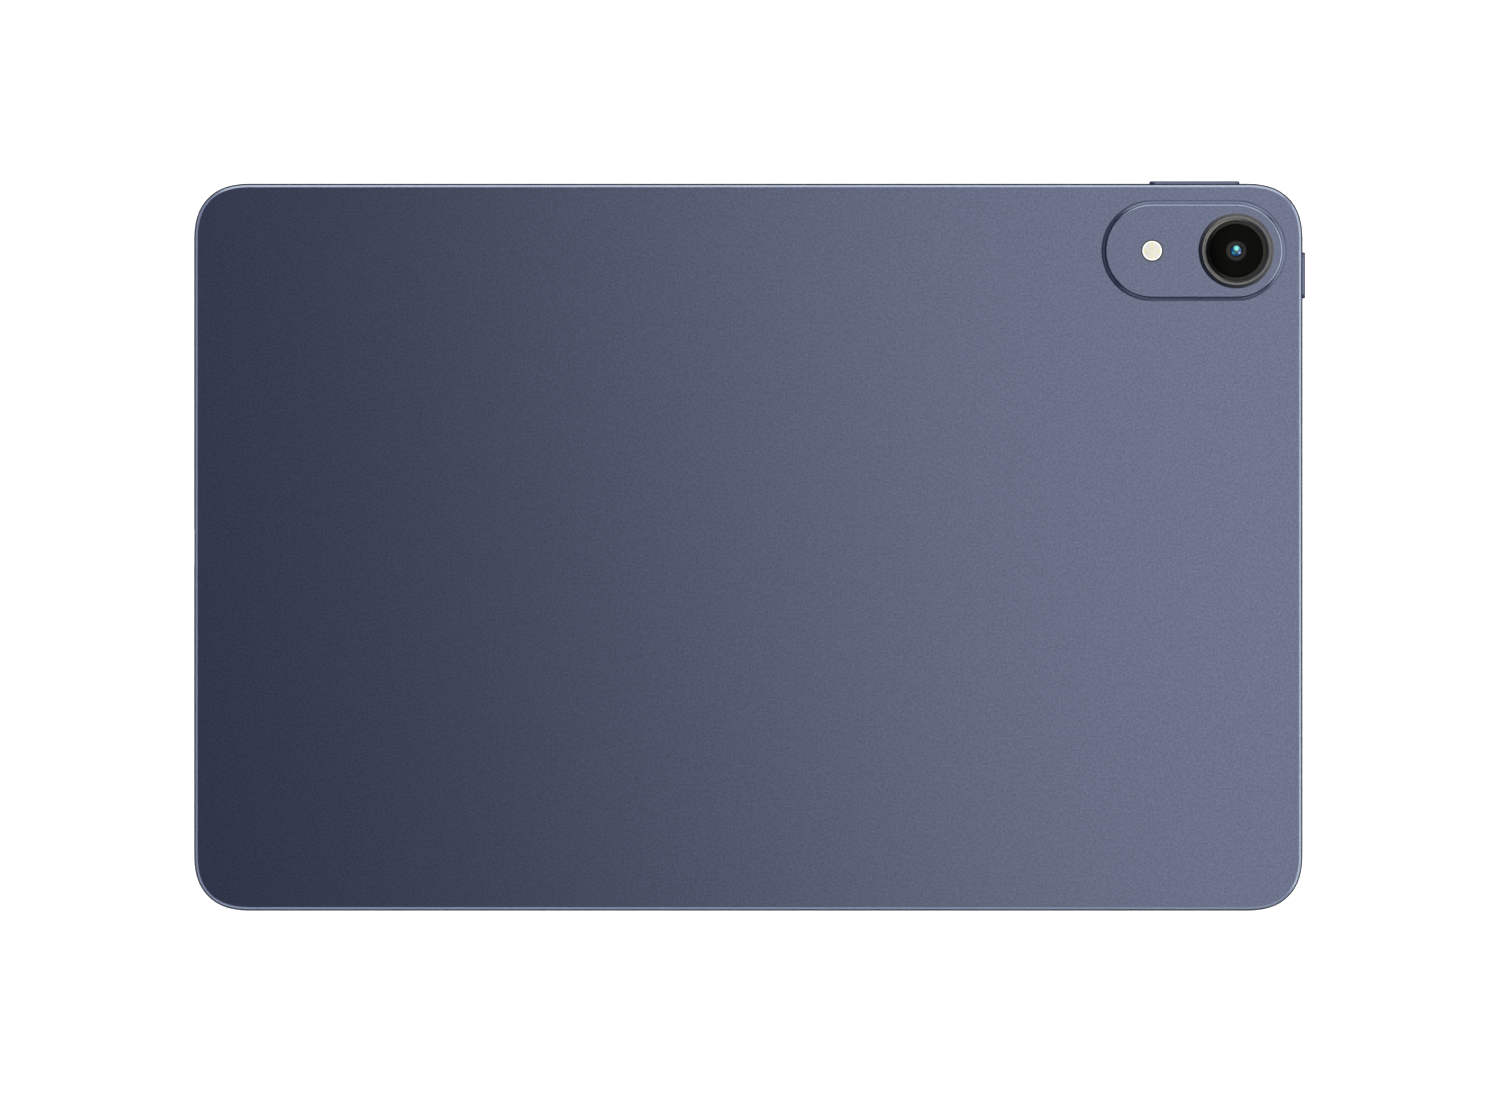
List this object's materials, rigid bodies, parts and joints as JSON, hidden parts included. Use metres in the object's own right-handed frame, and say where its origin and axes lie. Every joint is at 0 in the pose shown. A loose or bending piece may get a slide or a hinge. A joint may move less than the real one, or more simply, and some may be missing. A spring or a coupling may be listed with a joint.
{
  "type": "tablet computer",
  "caption": "Thin 11-inch tablet computer with a satin metal back, rounded corners, raised camera island, side keys and card tray.",
  "frame": {"origin": "centre of the screen's outer face; the tablet lies on its screen", "axes": "+X along the long side towards the end with the rear camera and power button, +Y along the short side towards the edge with the volume rocker, +Z from the screen out of the back"},
  "size_m": [0.2576, 0.1691, 0.0095],
  "materials": {
    "acrylic": "clear with white diffuser sheets",
    "barrel_plastic": "matt, brown grey",
    "black_film": "matt black printed film",
    "black_flex": "black film",
    "board_laminate": "solder mask, dark blue",
    "cable_jacket": "black jacket",
    "camera_window": "polished, coated",
    "carrier_plastic": "moulded, dark grey",
    "chip_resin": "moulded, matt black",
    "connector_plastic": "moulded, cream",
    "cover_glass": "polished, black print behind the border",
    "flash_plastic": "clear with faint radial facets",
    "flex_film": "amber film",
    "foam_tape": "black foam tape",
    "frame_plastic": "moulded, fine texture, black",
    "gold_contacts": "gold plated",
    "graphite_sheet": "dark grey sheet",
    "led_yellow": "yellow phosphor on a white base",
    "lens_glass": "polished, blue coated",
    "panel_glass": "polished black",
    "port_steel": "deep drawn, satin",
    "pouch_foil": "matt foil laminate",
    "ring_metal": "satin anodised, dark gunmetal, finely turned",
    "screw_steel": "zinc plated",
    "sensor_silicon": "glossy dark die",
    "sheet_steel": "cold rolled",
    "shell_metal": "satin anodised, dark slate blue",
    "silicone": "dark silicone",
    "speaker_cloth": "fine woven mesh, black",
    "speaker_plastic": "moulded black",
    "spring_steel": "bright",
    "tongue_plastic": "moulded black"
  },
  "bodies": {
    "tablet_body": {"rear_cover": "shell_metal", "front_glass": "cover_glass", "lcd_panel": "panel_glass", "light_guide": "acrylic", "backlight_tray": "sheet_steel", "glass_adhesive": "foam_tape", "display_board": "board_laminate", "bezel_frame": "frame_plastic", "front_camera": "speaker_plastic", "camera_ring": "ring_metal", "camera_glass": "camera_window", "camera_mask": "black_film", "camera_housing": "port_steel", "image_sensor": "sensor_silicon", "camera_flex": "black_flex", "flash_lens": "flash_plastic", "flash_led": "led_yellow", "dome_switches": "spring_steel", "key_flexes": "flex_film", "key_brackets": "sheet_steel", "card_contacts": "gold_contacts", "card_socket": "port_steel", "usb_shell": "port_steel", "usb_tongue": "tongue_plastic", "usb_contacts": "gold_contacts", "usb_board": "board_laminate", "speaker_top_left": "speaker_plastic", "speaker_bottom_left": "speaker_plastic", "speaker_top_right": "speaker_plastic", "speaker_bottom_right": "speaker_plastic", "speaker_meshes": "speaker_cloth", "microphones": "port_steel", "main_board": "board_laminate", "processor_shield": "sheet_steel", "radio_shield": "sheet_steel", "board_chips": "chip_resin", "heat_spreader": "graphite_sheet", "board_connectors": "connector_plastic", "usb_link_cable": "flex_film", "display_cable": "flex_film", "battery_lead": "black_flex", "antennas": "flex_film", "antenna_cables": "cable_jacket", "battery_cell_left": "pouch_foil", "battery_cell_right": "pouch_foil", "battery_tape": "foam_tape", "battery_board": "board_laminate", "board_screws": "screw_steel"},
    "volume_rocker": {"volume_rocker": "shell_metal", "volume_rocker_carrier": "carrier_plastic"},
    "power_button": {"power_button": "shell_metal", "power_button_carrier": "carrier_plastic"},
    "card_tray": {"card_tray": "shell_metal", "tray_seal": "silicone"},
    "eject_rod": {"eject_rod": "spring_steel"},
    "eject_lever": {"eject_lever": "spring_steel"},
    "focus_lens": {"lens_barrel": "barrel_plastic", "front_lens": "lens_glass"}
  },
  "joints": [
    {"name": "volume_rock", "type": "hinge", "parent": "tablet_body", "child": "volume_rocker", "pos_m": [0.1034, 0.0806, 0.00415], "axis": [0, 0, 1], "range_deg": [-1.2, 1.2], "stiffness_Nm_per_rad": 0.43},
    {"name": "power_press", "type": "slide", "parent": "tablet_body", "child": "power_button", "axis": [-1, 0, 0], "range_m": [0, 0.00025], "stiffness_N_per_m": 800, "springref_m": -0.001},
    {"name": "card_tray_slide", "type": "slide", "parent": "tablet_body", "child": "card_tray", "axis": [1, 0, 0], "range_m": [0, 0.026]},
    {"name": "eject_rod_slide", "type": "slide", "parent": "tablet_body", "child": "eject_rod", "axis": [-1, 0, 0], "range_m": [0, 0.0012]},
    {"name": "eject_lever_turn", "type": "hinge", "parent": "tablet_body", "child": "eject_lever", "pos_m": [0.09938, 0.00075, 0.00415], "axis": [0, 0, 1], "range_deg": [0, 12]},
    {"name": "focus_slide", "type": "slide", "parent": "tablet_body", "child": "focus_lens", "axis": [0, 0, 1], "range_m": [0, 0.00025], "stiffness_N_per_m": 100, "springref_m": -0.0005}
  ],
  "couplings": [
    {"joint": "eject_lever_turn", "follows": "eject_rod_slide", "rad_per_m": 162.86}
  ]
}
